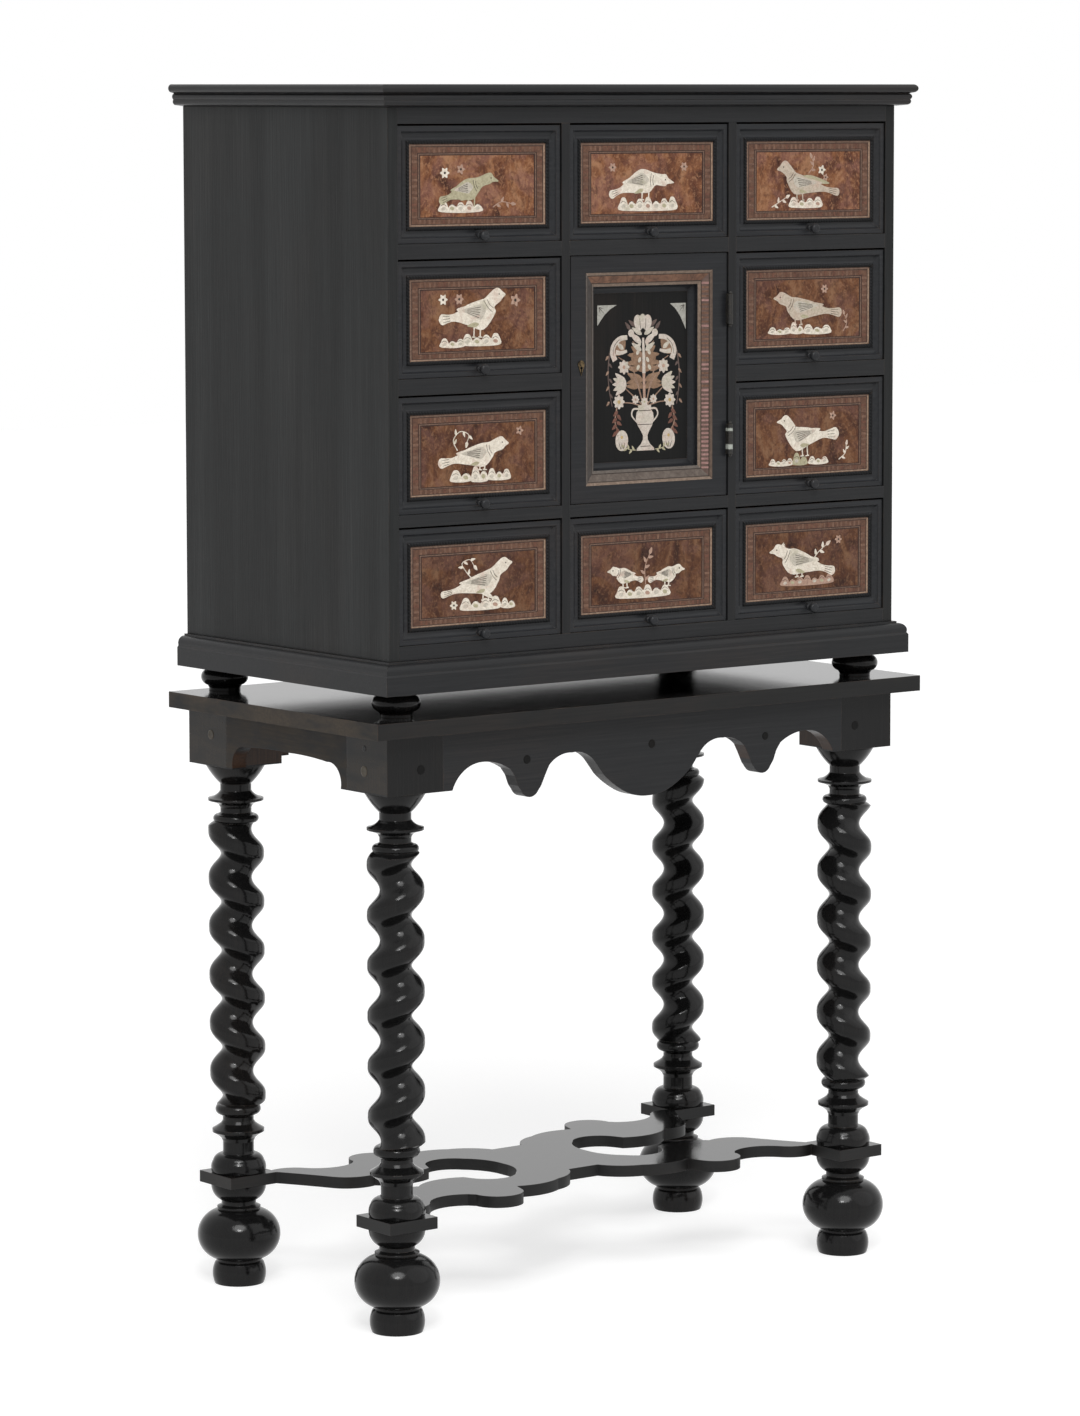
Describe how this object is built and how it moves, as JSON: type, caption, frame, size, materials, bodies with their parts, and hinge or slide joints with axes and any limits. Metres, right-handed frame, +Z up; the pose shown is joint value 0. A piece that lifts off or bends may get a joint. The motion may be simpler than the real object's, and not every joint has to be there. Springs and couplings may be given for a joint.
{
  "type": "storage cabinet on stand",
  "caption": "Ebonised wood storage cabinet of small inlaid drawers round a central door, on a stand with twist-turned legs, a scrolled flat stretcher and ball feet.",
  "frame": {"origin": "centre of the bounding box's bottom face, on the floor", "axes": "+X to the right across the front, +Y from the drawer fronts to the back, +Z up"},
  "size_m": [0.826, 0.4424, 1.453],
  "materials": {
    "ebonised_wood": "satin",
    "inlaid_panel": "satin",
    "bare_oak": "matt",
    "brass": "aged",
    "iron": "matt"
  },
  "bodies": {
    "cabinet": {"stand_top": "ebonised_wood", "apron_front": "ebonised_wood", "apron_back": "ebonised_wood", "apron_left": "ebonised_wood", "apron_right": "ebonised_wood", "leg_front_left": "ebonised_wood", "leg_front_right": "ebonised_wood", "leg_back_left": "ebonised_wood", "leg_back_right": "ebonised_wood", "stretcher": "ebonised_wood", "ball_feet": "ebonised_wood", "cabinet_feet": "ebonised_wood", "base_moulding": "ebonised_wood", "carcase_bottom": "ebonised_wood", "carcase_subtop": "bare_oak", "carcase_back": "bare_oak", "carcase_side_left": "ebonised_wood", "carcase_side_right": "ebonised_wood", "dividers": "ebonised_wood", "side_shelves": "ebonised_wood", "centre_shelves": "ebonised_wood", "cornice": "ebonised_wood", "cabinet_top": "bare_oak", "hinge_cabinet_leaves": "brass"},
    "door": {"door_frame": "ebonised_wood", "door_panel": "inlaid_panel", "door_lock": "iron", "door_escutcheon": "brass", "hinge_door_leaves": "brass"},
    "bolt": {"lock_bolt": "iron"},
    "drawer_left_1": {"drawer_left_1_box": "bare_oak", "drawer_left_1_front": "ebonised_wood", "drawer_left_1_panel": "inlaid_panel"},
    "drawer_right_1": {"drawer_right_1_box": "bare_oak", "drawer_right_1_front": "ebonised_wood", "drawer_right_1_panel": "inlaid_panel"},
    "drawer_centre_1": {"drawer_centre_1_box": "bare_oak", "drawer_centre_1_front": "ebonised_wood", "drawer_centre_1_panel": "inlaid_panel"},
    "drawer_left_2": {"drawer_left_2_box": "bare_oak", "drawer_left_2_front": "ebonised_wood", "drawer_left_2_panel": "inlaid_panel"},
    "drawer_right_2": {"drawer_right_2_box": "bare_oak", "drawer_right_2_front": "ebonised_wood", "drawer_right_2_panel": "inlaid_panel"},
    "drawer_left_3": {"drawer_left_3_box": "bare_oak", "drawer_left_3_front": "ebonised_wood", "drawer_left_3_panel": "inlaid_panel"},
    "drawer_right_3": {"drawer_right_3_box": "bare_oak", "drawer_right_3_front": "ebonised_wood", "drawer_right_3_panel": "inlaid_panel"},
    "drawer_left_4": {"drawer_left_4_box": "bare_oak", "drawer_left_4_front": "ebonised_wood", "drawer_left_4_panel": "inlaid_panel"},
    "drawer_right_4": {"drawer_right_4_box": "bare_oak", "drawer_right_4_front": "ebonised_wood", "drawer_right_4_panel": "inlaid_panel"},
    "drawer_centre_4": {"drawer_centre_4_box": "bare_oak", "drawer_centre_4_front": "ebonised_wood", "drawer_centre_4_panel": "inlaid_panel"}
  },
  "joints": [
    {"name": "drawer_left_1_slide", "type": "slide", "parent": "cabinet", "child": "drawer_left_1", "axis": [0, -1, 0], "range_m": [0, 0.28]},
    {"name": "drawer_right_1_slide", "type": "slide", "parent": "cabinet", "child": "drawer_right_1", "axis": [0, -1, 0], "range_m": [0, 0.28]},
    {"name": "drawer_centre_1_slide", "type": "slide", "parent": "cabinet", "child": "drawer_centre_1", "axis": [0, -1, 0], "range_m": [0, 0.28]},
    {"name": "drawer_left_2_slide", "type": "slide", "parent": "cabinet", "child": "drawer_left_2", "axis": [0, -1, 0], "range_m": [0, 0.28]},
    {"name": "drawer_right_2_slide", "type": "slide", "parent": "cabinet", "child": "drawer_right_2", "axis": [0, -1, 0], "range_m": [0, 0.28]},
    {"name": "drawer_left_3_slide", "type": "slide", "parent": "cabinet", "child": "drawer_left_3", "axis": [0, -1, 0], "range_m": [0, 0.28]},
    {"name": "drawer_right_3_slide", "type": "slide", "parent": "cabinet", "child": "drawer_right_3", "axis": [0, -1, 0], "range_m": [0, 0.28]},
    {"name": "drawer_left_4_slide", "type": "slide", "parent": "cabinet", "child": "drawer_left_4", "axis": [0, -1, 0], "range_m": [0, 0.28]},
    {"name": "drawer_right_4_slide", "type": "slide", "parent": "cabinet", "child": "drawer_right_4", "axis": [0, -1, 0], "range_m": [0, 0.28]},
    {"name": "drawer_centre_4_slide", "type": "slide", "parent": "cabinet", "child": "drawer_centre_4", "axis": [0, -1, 0], "range_m": [0, 0.28]},
    {"name": "door_hinge", "type": "hinge", "parent": "cabinet", "child": "door", "pos_m": [0.1196, -0.2039, 1.10785], "axis": [0, 0, -1], "range_deg": [-110, 0]},
    {"name": "bolt_slide", "type": "slide", "parent": "door", "child": "bolt", "axis": [-1, 0, 0], "range_m": [0, 0.01]}
  ]
}
